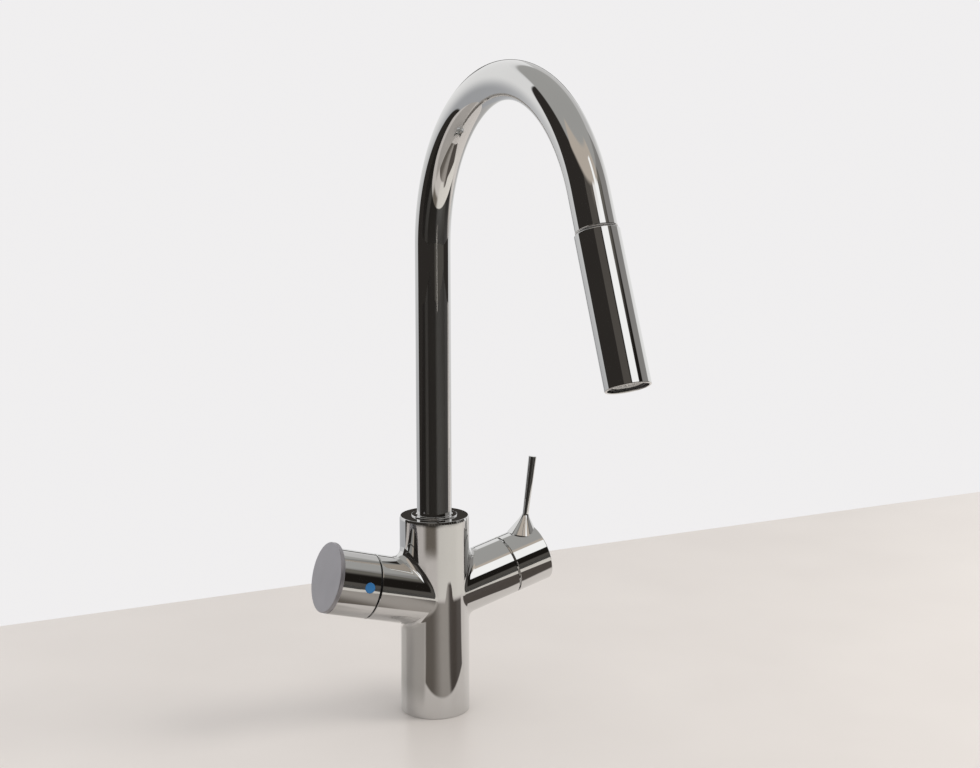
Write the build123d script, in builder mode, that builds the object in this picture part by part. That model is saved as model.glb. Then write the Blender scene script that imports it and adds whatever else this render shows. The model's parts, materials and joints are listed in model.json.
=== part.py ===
from build123d import *
import math
import os

# Three way kitchen tap with a filtered water valve on the left arm, a hot and cold
# mixer on the right arm, and a swivelling arched neck that ends in a pull-out wand.
# Millimetres, +Z up. The origin is the centre of the body's base on the worktop.
# The arms point along -X and +X, and the arch leans over the sink along -Y.
# A station is a distance along a centre line: up the body from the worktop, out along
# an arm from the body's axis, or down the wand's line from the end of the arch.

# ---- Driving dimensions: body ----

body_diameter = 50.0
body_height = 145.0
body_rim_chamfer = 0.7
body_foot_chamfer = 0.4
arm_rise = 15.0              # degrees above level
arm_drop = 60.0              # from the body's top to where the arms' axes meet
arm_blend = 3.0              # radius where an arm runs into the body
chamber_diameter = 23.0      # the hose's way up the middle

# ---- Driving dimensions: neck and its bearing ----

tube_diameter = 25.0
tube_wall = 1.5
arch_radius = 110.0
column_height = 193.0        # from the body's top to the start of the arch
arch_sweep = 157.5           # degrees from the upright column to the wand
arch_tail = 22.6             # straight length after the arch
neck_socket_depth = 38.0
foot_wall = 1.95
foot_shoulder_width = 1.6
seal_gap = 0.4               # radial, between the foot's sealed length and its socket
bush_flange = 1.5
bush_length = 7.0
ring_section = 2.8
ring_groove_width = 3.2
ring_groove_depth = 2.6
ring_count = 2
first_ring_height = 3.2      # above the foot's shoulder
ring_spacing = 4.8
cover_ring_height = 2.4
cover_ring_proud = 0.8
cover_ring_chamfer = 0.5
swivel_each_way = 75.0       # degrees
stop_screw_diameter = 5.0
stop_screw_drop = 5.0        # below the upper bush
stop_screw_recess = 0.8
stop_tip_diameter = 3.6
stop_groove_depth = 1.6
stop_side_gap = 0.35

# ---- Driving dimensions: dock and wand ----

dock_flange = 1.3
dock_flange_inset = 0.3
dock_depth = 18.0
dock_nose_length = 9.0
dock_nose_wall = 4.0
dock_nose_chamfer = 1.5
dock_lead_chamfer = 2.0
dock_clearance = 0.9         # radial, between the ferrule and the dock's bore
wand_diameter = 27.0
wand_wall = 1.4
wand_length = 92.0
wand_top_chamfer = 0.5
wand_rim_radius = 0.6
wand_pull = 50.0             # how far the wand comes out in a straight line
socket_recess = 0.4
socket_clearance = 1.5       # between the dock's nose and the wand's core
core_collar = 8.0
core_waist = 2.5             # how much slimmer the core is in its middle, each side
core_foot = 12.0
connector_wall = 2.4
connector_hex_length = 7.0
connector_pocket_gap = 0.5   # round the hexagon's corners
connector_thread_wall = 1.8
connector_thread_length = 9.0
ferrule_diameter = 9.2
ferrule_bore = 6.0
ferrule_lip = 1.0
ferrule_rim_radius = 0.8
ferrule_engagement = 11.0    # left in the dock when the wand is pulled out
waterway = 9.0
valve_seat_width = 1.3
valve_wall = 2.5
valve_length = 14.0
valve_disc = 4.0
valve_port = 2.0
valve_port_circle = 2.0      # radius
valve_port_count = 3
aerator_height = 10.0
aerator_recess = 1.2
aerator_play = 0.6           # radial, between the aerator's rim and the shell
aerator_thread_length = 4.0
aerator_seal_height = 1.6
aerator_wall = 2.25
aerator_notch_depth = 1.6
aerator_notch_width = 3.0
aerator_notch_count = 4
insert_height = 6.2
insert_recess = 0.8
insert_ledge = 1.7
insert_rim = 1.2
spoke_count = 12
spoke_width = 0.7
spoke_depth = 2.4
spoke_recess = 0.6
spoke_boss = 3.2
jet_diameter = 1.6
jet_circle = 5.6             # radius

# ---- Driving dimensions: filtered water arm ----

filter_arm_step = 3.6        # how much slimmer the arm is than the body, across
filter_arm_length = 53.5     # from the body's axis to the seam
filter_mouth_wall = 3.7
filter_knob_length = 32.9    # from its inner end to its outer face
knob_wall = 3.2
end_plate_diameter = 49.6
end_plate_thickness = 3.2
end_plate_radius = 1.2
end_plate_lift = 2.0         # the end plate stands proud at the top as a finger lip
end_plate_spigot = 2.5
mark_diameter = 7.5
mark_setback = 8.7           # from the knob's inner end
mark_turn = 82.0             # degrees from the top towards the front
mark_depth = 1.2
filter_valve_setback = 33.5  # from the seam to the valve's seat
filter_valve_seal_height = 2.0
filter_valve_thread = 20.8
filter_valve_thread_length = 18.0
filter_valve_hex = 24.0
filter_valve_hex_length = 7.0
filter_collar_wall = 2.5
filter_collar_length = 10.0
filter_port = 9.0
filter_port_depth = 6.0
filter_spindle_diameter = 10.0
filter_spindle_flat = 0.8    # depth of each of its two flats
filter_spindle_depth = 8.0   # into the valve
filter_spindle_reach = 21.0  # beyond the seam
flats_start_gap = 0.6        # between the valve's collar and the flats
adaptor_wall = 6.0
adaptor_length = 14.0
adaptor_cap = 1.5
knob_hub_wall = 4.5
knob_hub_setback = 2.0
knob_web = 3.0
knob_grub_setback = 6.0

# ---- Driving dimensions: mixer arm ----

mixer_arm_diameter = 43.0
mixer_arm_length = 59.5
handle_length = 27.7
handle_wall = 2.9
handle_cavity = 5.0
handle_end_radius = 0.8
handle_grub_setback = 5.5
lever_setback = 6.3          # from the handle's outer end to the lever's root
lever_lean = 22.7            # degrees outward from square to the arm
lever_length = 54.0          # from the handle's surface to the tip
lever_root = 4.5             # below the handle's surface
lever_foot_diameter = 4.3
lever_tip_diameter = 5.8
lever_tip_chamfer = 0.3
boss_height = 10.5
boss_rim = 0.3
boss_neck = 2.5              # length over which the flare leaves the lever
boss_diameter = 23.0
boss_flare = 4.5             # from the boss's edge to where its flare turns
boss_sink = 4.2              # how far the boss's edge lies below the handle's top
boss_root = 6.0
cartridge_diameter = 35.0
cartridge_setback = 35.5     # from the seam to the cartridge's seat
cartridge_base = 24.0
cartridge_collar = 26.0
cartridge_collar_length = 8.0
cartridge_nut_step = 0.6     # radial, how much wider the nut is than the cartridge
cartridge_nut_height = 7.0
cartridge_nut_slots = 6
cartridge_slot_width = 4.0
cartridge_slot_depth = 2.5
port_diameter = 7.0
port_circle = 9.5            # radius
port_count = 3
port_depth = 4.0
mixer_spindle_diameter = 12.0
mixer_spindle_depth = 8.0    # into the cartridge
mixer_spindle_reach = 17.0   # beyond the seam
spindle_square = 8.0
spindle_corner = 0.8
square_start_gap = 0.8       # between the cartridge's collar and the square

# ---- Driving dimensions: worktop fixing and water connections ----

shank_diameter = 32.9
shank_bore = 28.0
shank_length = 62.0          # below the worktop's surface
shank_thread_depth = 17.5    # up into the body
shank_chamfer = 1.0
worktop_thickness = 30.0
gasket_thickness = 2.0
gasket_outer = 46.4
washer_outer = 54.0
rubber_washer_thickness = 3.0
steel_washer_thickness = 2.0
nut_across_flats = 46.0
nut_height = 10.0
nut_corner_rise = 3.5
nut_corner_width = 6.5
inlet_block_height = 16.0
socket_diameter = 7.0        # tapping bore for a slim threaded tail
socket_circle = 10.2         # radius of the arc of sockets
socket_first = 5.0           # degrees
socket_span = 170.0          # degrees
socket_count = 4
hose_passage_diameter = 12.4
hose_passage_offset = -5.3

# ---- Driving dimensions: fits, seams and small screws ----

seam_gap = 0.8               # between an arm's end and what turns on it
seam_chamfer = 0.3
fixed_fit = 0.05             # radial, between pieces of one body
running_fit = 0.06           # radial, between a shaft and its bush
end_play = 0.1               # between a shoulder and its bush
working_gap = 0.3            # between bodies that pass each other
glide_ring_thickness = 0.5
glide_ring_width = 2.4
glide_ring_inset = 0.5
grub_diameter = 5.0
grub_length = 6.0
grub_hex = 2.5
grub_hex_depth = 2.5
plug_length = 2.0
plug_recess = 0.3

# ---- Worked out: body and neck ----

body_radius = body_diameter / 2
filter_arm_diameter = body_diameter - filter_arm_step
arm_height = body_height - arm_drop
arch_start_height = body_height + column_height
tube_bore = tube_diameter - 2 * tube_wall
foot_diameter = tube_diameter + 2 * (fixed_fit + foot_wall)
foot_seal_diameter = foot_diameter + 2 * foot_shoulder_width
neck_socket_diameter = foot_seal_diameter + 2 * seal_gap
neck_socket_floor = body_height - neck_socket_depth
inlet_block_top = shank_thread_depth + inlet_block_height
lower_bush_top = neck_socket_floor + bush_flange + bush_length
cover_ring_top = body_height + cover_ring_proud
cover_ring_low = cover_ring_top - cover_ring_height
upper_bush_low = cover_ring_low - bush_length
foot_bottom = neck_socket_floor + bush_flange + end_play
foot_shoulder = lower_bush_top + end_play
foot_upper_shoulder = upper_bush_low - end_play
foot_top = cover_ring_low - end_play
stop_height = upper_bush_low - stop_screw_drop
stop_screw_end = body_radius - stop_screw_recess
bush_diameter = neck_socket_diameter - 2 * fixed_fit
bush_bore = foot_diameter + 2 * running_fit

# ---- Worked out: wand ----

dock_bore = ferrule_diameter + 2 * dock_clearance
dock_nose_diameter = dock_bore + 2 * dock_nose_wall
dock_start = arch_tail - dock_depth
dock_nose_start = arch_tail + dock_flange
dock_nose_end = dock_nose_start + dock_nose_length
wand_start = dock_nose_start + working_gap
wand_end = wand_start + wand_length
wand_bore = wand_diameter - 2 * wand_wall
lining_diameter = wand_bore - 2 * fixed_fit
socket_start = wand_start + socket_recess
core_start = dock_nose_end + socket_clearance
connector_hex = ferrule_diameter + 2 * connector_wall
connector_pocket = connector_hex / math.cos(math.radians(30)) + 2 * connector_pocket_gap
connector_thread = ferrule_bore + 2 * connector_thread_wall
connector_start = dock_nose_end + socket_clearance / 2
connector_seat = connector_start + connector_hex_length
connector_end = connector_seat + connector_thread_length
ferrule_start = dock_nose_end - ferrule_engagement - wand_pull
ferrule_end = connector_seat - ferrule_lip
valve_outer = waterway + 2 * valve_seat_width
valve_mouth = valve_outer - 2 * valve_wall
valve_start = connector_end + fixed_fit
valve_end = valve_start + valve_length
valve_disc_start = (valve_start + valve_end - valve_disc) / 2
valve_disc_end = valve_disc_start + valve_disc
aerator_end = wand_end - aerator_recess
aerator_start = aerator_end - aerator_height
aerator_seal_end = aerator_start + aerator_seal_height
aerator_diameter = wand_bore - 2 * aerator_play
insert_diameter = aerator_diameter - 2 * (aerator_wall + fixed_fit)
insert_end = aerator_end - insert_recess
insert_start = insert_end - insert_height
insert_bore = insert_diameter - 2 * insert_rim
spoke_end = insert_end - spoke_recess
spoke_start = spoke_end - spoke_depth

# ---- Worked out: filtered water arm ----

knob_start = filter_arm_length + seam_gap
mark_station = knob_start + mark_setback
knob_rim = knob_start + filter_knob_length - end_plate_thickness
knob_radius = filter_arm_diameter / 2
knob_bore = filter_arm_diameter - 2 * knob_wall
filter_valve_seat = filter_arm_length - filter_valve_setback
filter_valve_start = filter_valve_seat + filter_valve_seal_height
filter_hex_start = filter_valve_start + filter_valve_thread_length
filter_hex_end = filter_hex_start + filter_valve_hex_length
filter_collar = filter_spindle_diameter + 2 * filter_collar_wall
filter_collar_end = filter_hex_end + filter_collar_length
filter_spindle_start = filter_hex_start - filter_spindle_depth
filter_spindle_end = filter_arm_length + filter_spindle_reach
filter_flats_start = filter_collar_end + flats_start_gap
filter_across_flats = filter_spindle_diameter - 2 * filter_spindle_flat
adaptor_diameter = filter_spindle_diameter + 2 * adaptor_wall
adaptor_end = filter_spindle_end + adaptor_cap
adaptor_start = adaptor_end - adaptor_length

# ---- Worked out: mixer arm ----

handle_start = mixer_arm_length + seam_gap
handle_end = handle_start + handle_length
handle_hub = handle_start + handle_cavity
handle_radius = mixer_arm_diameter / 2
lever_station = handle_end - lever_setback
cartridge_seat = mixer_arm_length - cartridge_setback
cartridge_shoulder = cartridge_seat + cartridge_base
cartridge_collar_end = cartridge_shoulder + cartridge_collar_length
cartridge_nut_end = cartridge_shoulder + cartridge_nut_height
cartridge_nut_diameter = cartridge_diameter + 2 * cartridge_nut_step
mixer_spindle_start = cartridge_shoulder - mixer_spindle_depth
mixer_spindle_end = mixer_arm_length + mixer_spindle_reach
mixer_square_start = cartridge_collar_end + square_start_gap

# ---- Worked out: below the worktop ----

rubber_washer_low = -worktop_thickness - rubber_washer_thickness
steel_washer_low = rubber_washer_low - steel_washer_thickness
nut_low = steel_washer_low - nut_height
washer_bore = shank_diameter + 2 * working_gap

# ---- Worked out: centre lines ----

rise = math.radians(arm_rise)
sweep_angle = math.radians(arch_sweep)
upright = Plane.XY
filter_arm = Plane(
    origin=(0, 0, arm_height),
    x_dir=(math.sin(rise), 0, math.cos(rise)),
    z_dir=(-math.cos(rise), 0, math.sin(rise)),
)
mixer_arm = Plane(
    origin=(0, 0, arm_height),
    x_dir=(-math.sin(rise), 0, math.cos(rise)),
    z_dir=(math.cos(rise), 0, math.sin(rise)),
)
arch_end = Vector(
    0,
    -arch_radius * (1 - math.cos(sweep_angle)),
    arch_start_height + arch_radius * math.sin(sweep_angle),
)
outlet_line = Plane(
    origin=arch_end,
    x_dir=(1, 0, 0),
    z_dir=(0, -math.sin(sweep_angle), math.cos(sweep_angle)),
)
tail_end = arch_end + outlet_line.z_dir * arch_tail
stop_line = Plane(origin=(0, 0, stop_height), x_dir=(1, 0, 0), z_dir=(0, 1, 0))


def across(line, station, direction):
    """A centre line that leaves another at a station, in a direction square to it."""
    return Plane(origin=line.offset(station).origin, x_dir=line.z_dir, z_dir=direction)


handle_grub_line = across(mixer_arm, handle_hub + handle_grub_setback, -mixer_arm.x_dir)
knob_grub_line = across(filter_arm, adaptor_start + knob_grub_setback, -filter_arm.x_dir)
mark_angle = math.radians(mark_turn)
mark_line = across(
    filter_arm,
    mark_station,
    filter_arm.x_dir * math.cos(mark_angle) - filter_arm.y_dir * math.sin(mark_angle),
)
lean = math.radians(lever_lean)
lever_line = Plane(
    origin=mixer_arm.offset(lever_station).origin + mixer_arm.x_dir * handle_radius,
    x_dir=(0, 1, 0),
    z_dir=mixer_arm.x_dir * math.cos(lean) + mixer_arm.z_dir * math.sin(lean),
)


# ---- Ways of working ----


def turn(line, diameter, start, end, mode=Mode.ADD):
    """Adds or cuts a plain turned length between two stations of a centre line."""
    with BuildSketch(line.offset(start)) as section:
        Circle(diameter / 2)
    extrude(section.sketch, amount=end - start, mode=mode)


def bore(line, diameter, start, end):
    turn(line, diameter, start, end, Mode.SUBTRACT)


def hexagon(line, across_flats, start, end, mode=Mode.ADD):
    with BuildSketch(line.offset(start)) as section:
        RegularPolygon(across_flats / 2, 6, major_radius=False)
    extrude(section.sketch, amount=end - start, mode=mode)


def beside(line):
    """The plane through a centre line whose x is the radius and whose y is the station."""
    return Plane(origin=line.origin, x_dir=line.x_dir, z_dir=-line.y_dir)


def axis_of(line):
    return Axis(line.origin, line.z_dir)


def rims(piece, line, station):
    """The round edges square to a centre line at a station, the narrowest first."""
    round_edges = piece.edges().filter_by(GeomType.CIRCLE)
    square_edges = round_edges.filter_by(
        lambda edge: abs(line.to_local_coords(edge.position_at(0)).Z - station) < 0.01
        and abs(line.to_local_coords(edge.position_at(0.37)).Z - station) < 0.01
    )
    return square_edges.sort_by(SortBy.RADIUS)


def glide_ring(line, arm_diameter, seam):
    """A thin ring on an arm's end, in the seam that the turning piece leaves."""
    outer = arm_diameter - 2 * glide_ring_inset
    turn(line, outer, seam, seam + glide_ring_thickness)
    bore(line, outer - 2 * glide_ring_width, seam, seam + glide_ring_thickness)


def grub_screw(line, seat):
    """A headless screw with a hexagon socket, tightened on a seat."""
    end = seat + grub_length
    turn(line, grub_diameter, seat + fixed_fit, end)
    hexagon(line, grub_hex, end - grub_hex_depth, end, Mode.SUBTRACT)


def screw_plug(line, surface):
    """A plug that closes a screw's hole just below the surface."""
    turn(line, grub_diameter, surface - plug_recess - plug_length, surface - plug_recess)


os.makedirs("parts", exist_ok=True)


def keep(piece, name):
    piece.part.label = name
    export_step(piece.part, f"parts/{name}.step")


# ---- Body: upright cylinder with two rising arms, bored for what it holds ----

with BuildPart() as tap_body:
    turn(upright, body_diameter, 0, body_height)
    turn(filter_arm, filter_arm_diameter, 0, filter_arm_length)
    turn(mixer_arm, mixer_arm_diameter, 0, mixer_arm_length)
    saddles = [
        edge
        for edge in tap_body.edges()
        if edge.geom_type not in (GeomType.CIRCLE, GeomType.LINE)
    ]
    fillet(saddles, radius=arm_blend)
    chamfer(rims(tap_body, upright, body_height)[-1], length=body_rim_chamfer)
    chamfer(rims(tap_body, upright, 0)[-1], length=body_foot_chamfer)
    chamfer(rims(tap_body, filter_arm, filter_arm_length)[-1], length=seam_chamfer)
    chamfer(rims(tap_body, mixer_arm, mixer_arm_length)[-1], length=seam_chamfer)
    # gasket recess, shank thread and inlet block, hose chamber, neck socket
    bore(upright, gasket_outer + 2 * fixed_fit, 0, gasket_thickness)
    bore(upright, shank_diameter + 2 * fixed_fit, gasket_thickness, inlet_block_top)
    bore(upright, chamber_diameter, inlet_block_top, neck_socket_floor)
    bore(upright, neck_socket_diameter, neck_socket_floor, body_height)
    # cartridge chamber, with a wider thread for its nut
    bore(mixer_arm, cartridge_diameter + 2 * fixed_fit, cartridge_seat, cartridge_shoulder)
    bore(mixer_arm, cartridge_nut_diameter + 2 * fixed_fit, cartridge_shoulder, mixer_arm_length)
    # filter valve thread, with a pocket for its hexagon
    bore(filter_arm, filter_valve_thread + 2 * fixed_fit, filter_valve_seat, filter_hex_start)
    bore(
        filter_arm,
        filter_arm_diameter - 2 * filter_mouth_wall,
        filter_hex_start,
        filter_arm_length,
    )
    # neck stop screw, from the back
    bore(stop_line, stop_screw_diameter + 2 * fixed_fit, 0, body_diameter)
keep(tap_body, "tap_body")

# ---- Worktop fixing: gasket above, washers and nut below, on a hollow threaded shank ----

with BuildPart() as base_gasket:
    turn(upright, gasket_outer, 0, gasket_thickness)
    bore(upright, washer_bore, 0, gasket_thickness)
keep(base_gasket, "base_gasket")

with BuildPart() as mounting_shank:
    turn(upright, shank_diameter, -shank_length, shank_thread_depth)
    chamfer(rims(mounting_shank, upright, -shank_length)[-1], length=shank_chamfer)
    bore(upright, shank_bore, -shank_length, shank_thread_depth)
keep(mounting_shank, "mounting_shank")

with BuildPart() as rubber_washer:
    turn(upright, washer_outer, rubber_washer_low, -worktop_thickness)
    bore(upright, washer_bore, rubber_washer_low, -worktop_thickness)
keep(rubber_washer, "rubber_washer")

with BuildPart() as steel_washer:
    turn(upright, washer_outer, steel_washer_low, rubber_washer_low)
    bore(upright, washer_bore, steel_washer_low, rubber_washer_low)
keep(steel_washer, "steel_washer")

with BuildPart() as back_nut:
    hexagon(upright, nut_across_flats, nut_low, steel_washer_low)
    # the corners are turned off to a cone below
    with BuildSketch(beside(upright)):
        with BuildLine():
            Polyline(
                (nut_across_flats / 2, nut_low),
                (nut_across_flats / 2 + nut_corner_width, nut_low),
                (nut_across_flats / 2 + nut_corner_width, nut_low + nut_corner_rise),
                close=True,
            )
        make_face()
    revolve(axis=Axis.Z, mode=Mode.SUBTRACT)
    bore(upright, shank_diameter + 2 * fixed_fit, nut_low, steel_washer_low)
keep(back_nut, "back_nut")

# ---- Inlet block: hot, cold and filtered water in, mixed water out, and the hose's way ----

with BuildPart() as inlet_block:
    turn(upright, shank_diameter, shank_thread_depth, inlet_block_top)
    with BuildSketch(upright.offset(shank_thread_depth)):
        with PolarLocations(
            socket_circle, socket_count, socket_first, socket_span, endpoint=True
        ):
            Circle(socket_diameter / 2)
        with Locations((0, hose_passage_offset)):
            Circle(hose_passage_diameter / 2)
    extrude(amount=inlet_block_height, mode=Mode.SUBTRACT)
keep(inlet_block, "inlet_block")

# ---- Neck bearing: the foot turns in two bushes and is held by the stop screw ----

with BuildPart() as lower_glide_bush:
    turn(upright, bush_diameter, neck_socket_floor, lower_bush_top)
    bore(upright, bush_bore, neck_socket_floor + bush_flange, lower_bush_top)
    bore(upright, tube_bore, neck_socket_floor, lower_bush_top)
keep(lower_glide_bush, "lower_glide_bush")

with BuildPart() as upper_glide_bush:
    turn(upright, bush_diameter, upper_bush_low, cover_ring_low)
    bore(upright, bush_bore, upper_bush_low, cover_ring_low)
keep(upper_glide_bush, "upper_glide_bush")

with BuildPart() as neck_cover_ring:
    turn(upright, bush_diameter, cover_ring_low, cover_ring_top)
    chamfer(rims(neck_cover_ring, upright, cover_ring_top)[-1], length=cover_ring_chamfer)
    bore(upright, tube_diameter + 2 * working_gap, cover_ring_low, cover_ring_top)
keep(neck_cover_ring, "neck_cover_ring")

ring_heights = [foot_shoulder + first_ring_height + n * ring_spacing for n in range(ring_count)]
ring_centre = neck_socket_diameter / 2 - running_fit - ring_section / 2
groove_floor = foot_seal_diameter / 2 - stop_groove_depth
groove_width = stop_tip_diameter + 2 * stop_side_gap
groove_overrun = math.degrees(math.asin(groove_width / 2 / groove_floor))
groove_arc = 2 * (swivel_each_way + groove_overrun)
groove_start = math.radians(90 - groove_arc / 2)
groove_side = Plane(
    origin=(0, 0, stop_height),
    x_dir=(math.cos(groove_start), math.sin(groove_start), 0),
    z_dir=(math.sin(groove_start), -math.cos(groove_start), 0),
)

with BuildPart() as neck_foot:
    turn(upright, foot_diameter, foot_bottom, foot_top)
    turn(upright, foot_seal_diameter, foot_shoulder, foot_upper_shoulder)
    for height in ring_heights:
        with BuildSketch(beside(upright)):
            with Locations((foot_seal_diameter / 2, height)):
                Rectangle(2 * ring_groove_depth, ring_groove_width)
        revolve(axis=Axis.Z, mode=Mode.SUBTRACT)
    # the stop groove runs round the back, and its ends are the swivel's stops
    with BuildSketch(groove_side):
        with Locations((foot_seal_diameter / 2, 0)):
            Rectangle(2 * stop_groove_depth, groove_width)
    revolve(axis=Axis.Z, revolution_arc=groove_arc, mode=Mode.SUBTRACT)
    bore(upright, tube_diameter + 2 * fixed_fit, foot_bottom, foot_top)
keep(neck_foot, "neck_foot")

with BuildPart() as neck_o_rings:
    for height in ring_heights:
        with BuildSketch(beside(upright)):
            with Locations((ring_centre, height)):
                Circle(ring_section / 2)
        revolve(axis=Axis.Z)
keep(neck_o_rings, "neck_o_rings")

with BuildPart() as neck_stop_screw:
    turn(stop_line, stop_screw_diameter, foot_seal_diameter / 2 + working_gap, stop_screw_end)
    turn(stop_line, stop_tip_diameter, groove_floor + working_gap, stop_screw_end)
    hexagon(stop_line, grub_hex, stop_screw_end - grub_hex_depth, stop_screw_end, Mode.SUBTRACT)
keep(neck_stop_screw, "neck_stop_screw")

# ---- Neck: upright column, arch and straight tail in one bent tube ----

with BuildPart() as neck_tube:
    with BuildLine(Plane.YZ):
        Line((0, foot_bottom), (0, arch_start_height))
        CenterArc((-arch_radius, arch_start_height), arch_radius, 0, arch_sweep)
        Line((arch_end.Y, arch_end.Z), (tail_end.Y, tail_end.Z))
    with BuildSketch(upright.offset(foot_bottom)):
        Circle(tube_diameter / 2)
        Circle(tube_bore / 2, mode=Mode.SUBTRACT)
    sweep()
keep(neck_tube, "neck_tube")

# ---- Dock: the bush in the neck's end that the wand seats on ----

with BuildPart() as dock_bush:
    turn(outlet_line, tube_bore - 2 * fixed_fit, dock_start, arch_tail)
    turn(outlet_line, tube_diameter - 2 * dock_flange_inset, arch_tail, dock_nose_start)
    turn(outlet_line, dock_nose_diameter, dock_nose_start, dock_nose_end)
    chamfer(rims(dock_bush, outlet_line, dock_nose_end)[-1], length=dock_nose_chamfer)
    bore(outlet_line, dock_bore, dock_start, dock_nose_end)
    chamfer(rims(dock_bush, outlet_line, dock_start)[0], length=dock_lead_chamfer)
keep(dock_bush, "dock_bush")

# ---- Wand: slim shell round a waterway, an aerator at its mouth and a hose connector ----

with BuildPart() as wand_shell:
    turn(outlet_line, wand_diameter, wand_start, wand_end)
    chamfer(rims(wand_shell, outlet_line, wand_start)[-1], length=wand_top_chamfer)
    fillet(rims(wand_shell, outlet_line, wand_end)[-1], radius=wand_rim_radius)
    bore(outlet_line, wand_bore, wand_start, wand_end)
keep(wand_shell, "wand_shell")

with BuildPart() as wand_socket:
    turn(outlet_line, lining_diameter, socket_start, core_start)
    bore(outlet_line, dock_nose_diameter + 2 * working_gap, socket_start, core_start)
keep(wand_socket, "wand_socket")

with BuildPart() as wand_core:
    turn(outlet_line, lining_diameter - 2 * core_waist, core_start, aerator_start)
    turn(outlet_line, lining_diameter, core_start, core_start + core_collar)
    turn(outlet_line, lining_diameter, aerator_start - core_foot, aerator_start)
    # pocket for the connector's hexagon, its thread, the check valve, the waterway
    bore(outlet_line, connector_pocket, core_start, connector_seat)
    bore(outlet_line, connector_thread + 2 * fixed_fit, connector_seat, connector_end)
    bore(outlet_line, valve_outer + 2 * fixed_fit, connector_end, valve_end)
    bore(outlet_line, waterway, valve_end, aerator_start)
keep(wand_core, "wand_core")

with BuildPart() as hose_connector:
    hexagon(outlet_line, connector_hex, connector_start, connector_seat)
    turn(outlet_line, connector_thread, connector_seat, connector_end)
    bore(outlet_line, ferrule_diameter + 2 * fixed_fit, connector_start, ferrule_end)
    bore(outlet_line, ferrule_bore, ferrule_end, connector_end)
keep(hose_connector, "hose_connector")

with BuildPart() as hose_ferrule:
    turn(outlet_line, ferrule_diameter, ferrule_start, ferrule_end)
    fillet(rims(hose_ferrule, outlet_line, ferrule_start)[-1], radius=ferrule_rim_radius)
    bore(outlet_line, ferrule_bore, ferrule_start, ferrule_end)
keep(hose_ferrule, "hose_ferrule")

with BuildPart() as check_valve:
    turn(outlet_line, valve_outer, valve_start, valve_end)
    bore(outlet_line, valve_mouth, valve_start, valve_disc_start)
    bore(outlet_line, valve_mouth, valve_disc_end, valve_end)
    with BuildSketch(outlet_line.offset(valve_disc_start)):
        with PolarLocations(valve_port_circle, valve_port_count):
            Circle(valve_port / 2)
    extrude(amount=valve_disc, mode=Mode.SUBTRACT)
keep(check_valve, "check_valve")

with BuildPart() as aerator_seal:
    turn(outlet_line, aerator_diameter, aerator_start, aerator_seal_end)
    bore(outlet_line, waterway, aerator_start, aerator_seal_end)
keep(aerator_seal, "aerator_seal")

with BuildPart() as aerator_housing:
    turn(outlet_line, aerator_diameter, aerator_seal_end, aerator_end)
    turn(
        outlet_line,
        lining_diameter,
        aerator_seal_end,
        aerator_seal_end + aerator_thread_length,
    )
    bore(outlet_line, insert_diameter - 2 * insert_ledge, aerator_seal_end, insert_start)
    bore(outlet_line, insert_diameter + 2 * fixed_fit, insert_start, aerator_end)
    # spanner notches round the rim
    with BuildSketch(outlet_line.offset(aerator_end - aerator_notch_depth)):
        with PolarLocations(aerator_diameter / 2, aerator_notch_count):
            Rectangle(aerator_wall, aerator_notch_width)
    extrude(amount=aerator_notch_depth, mode=Mode.SUBTRACT)
keep(aerator_housing, "aerator_housing")

with BuildPart() as aerator_insert:
    turn(outlet_line, insert_diameter, insert_start, insert_end)
    bore(outlet_line, insert_bore, spoke_start, insert_end)
    # a star of thin spokes straightens the flow from a ring of jets
    with BuildSketch(outlet_line.offset(spoke_start)):
        Circle(spoke_boss / 2)
        with PolarLocations(insert_bore / 4, spoke_count):
            Rectangle(insert_bore / 2, spoke_width)
    extrude(amount=spoke_depth)
    with BuildSketch(outlet_line.offset(insert_start)):
        with PolarLocations(jet_circle, spoke_count, start_angle=180 / spoke_count):
            Circle(jet_diameter / 2)
    extrude(amount=spoke_start - insert_start, mode=Mode.SUBTRACT)
keep(aerator_insert, "aerator_insert")

# ---- Mixer: cartridge, its nut, the spindle, and the handle with its pin lever ----

with BuildPart() as mixer_cartridge:
    turn(mixer_arm, cartridge_diameter, cartridge_seat, cartridge_shoulder)
    turn(mixer_arm, cartridge_collar, cartridge_shoulder, cartridge_collar_end)
    bore(
        mixer_arm,
        mixer_spindle_diameter + 2 * running_fit,
        mixer_spindle_start - running_fit,
        cartridge_collar_end,
    )
    with BuildSketch(mixer_arm.offset(cartridge_seat)):
        with PolarLocations(port_circle, port_count):
            Circle(port_diameter / 2)
    extrude(amount=port_depth, mode=Mode.SUBTRACT)
keep(mixer_cartridge, "mixer_cartridge")

with BuildPart() as cartridge_nut:
    turn(mixer_arm, cartridge_nut_diameter, cartridge_shoulder, cartridge_nut_end)
    bore(mixer_arm, cartridge_collar + 2 * fixed_fit, cartridge_shoulder, cartridge_nut_end)
    with BuildSketch(mixer_arm.offset(cartridge_nut_end - cartridge_slot_depth)):
        with PolarLocations(cartridge_nut_diameter / 2, cartridge_nut_slots):
            Rectangle(2 * cartridge_slot_depth, cartridge_slot_width)
    extrude(amount=cartridge_slot_depth, mode=Mode.SUBTRACT)
keep(cartridge_nut, "cartridge_nut")

with BuildPart() as mixer_glide_ring:
    glide_ring(mixer_arm, mixer_arm_diameter, mixer_arm_length)
keep(mixer_glide_ring, "mixer_glide_ring")

with BuildPart() as mixer_spindle:
    turn(mixer_arm, mixer_spindle_diameter, mixer_spindle_start, mixer_square_start)
    with BuildSketch(mixer_arm.offset(mixer_square_start)):
        RectangleRounded(spindle_square, spindle_square, spindle_corner)
    extrude(amount=mixer_spindle_end - mixer_square_start)
keep(mixer_spindle, "mixer_spindle")

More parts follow.
